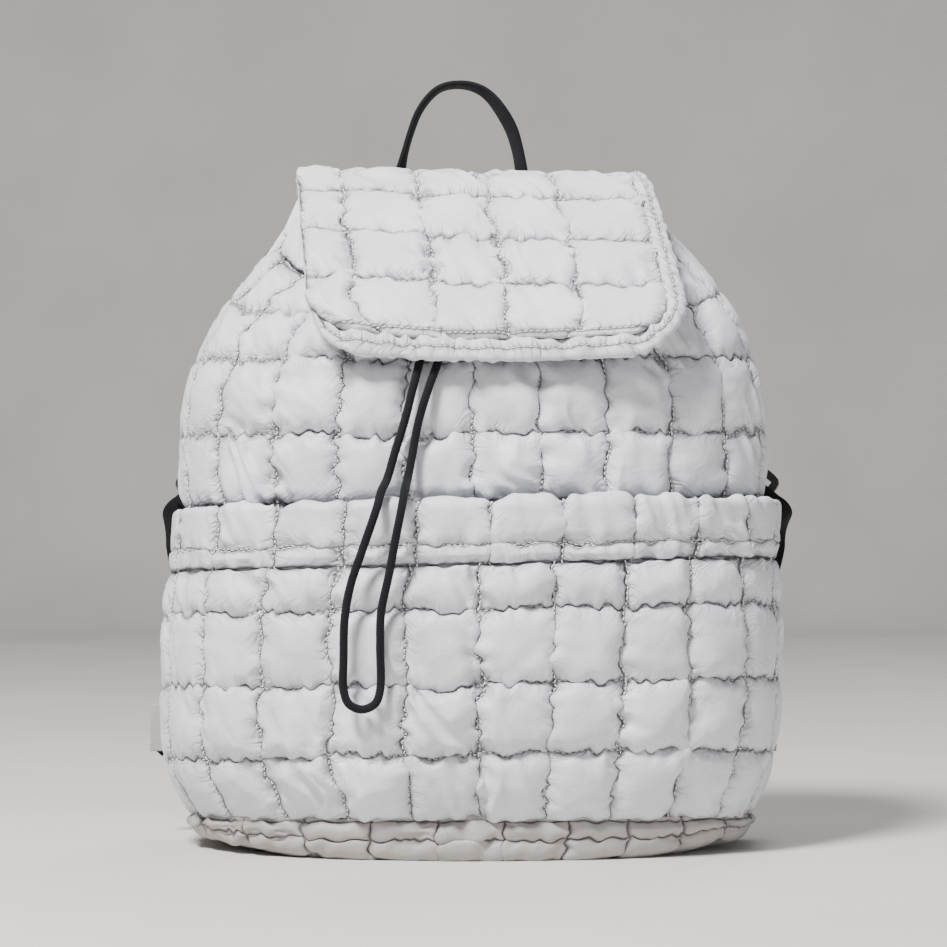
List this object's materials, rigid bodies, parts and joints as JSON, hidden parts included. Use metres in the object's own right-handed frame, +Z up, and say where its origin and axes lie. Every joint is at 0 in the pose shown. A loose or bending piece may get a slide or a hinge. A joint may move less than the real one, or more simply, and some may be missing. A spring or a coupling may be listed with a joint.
{
  "type": "quilted puffer backpack",
  "caption": "Upright quilted puffer backpack with a drawcord mouth under a flap, a front pocket with a ruched hem, a grab handle and shoulder straps.",
  "frame": {"origin": "on the floor under the middle of the base, where the middle planes of its width and depth meet", "axes": "+Z up, the front with the pocket faces -Y, the back panel and shoulder straps +Y, +X to the right of someone who looks at the front"},
  "size_m": [0.3755, 0.2004, 0.4397],
  "materials": {
    "nylon": "off-white padded nylon with a soft sheen",
    "base_nylon": "the same nylon, a little darker and warmer",
    "webbing": "black woven webbing",
    "cord": "black braided cord",
    "plastic": "black moulded plastic"
  },
  "bodies": {
    "root": {"body_wrap": "nylon", "mouth_casing": "nylon", "front_pocket": "nylon", "pocket_hem": "nylon", "back_panel": "nylon", "base_panel": "base_nylon", "flap_panel": "nylon", "flap_border": "nylon", "grab_handle": "webbing", "drawcord": "cord", "cord_exit": "plastic", "strap_pad_left": "nylon", "strap_pad_right": "nylon", "strap_slider_left": "plastic", "strap_slider_right": "plastic", "strap_webbing_left": "webbing", "strap_webbing_right": "webbing", "strap_anchor_left": "base_nylon", "strap_anchor_right": "base_nylon"}
  },
  "joints": []
}
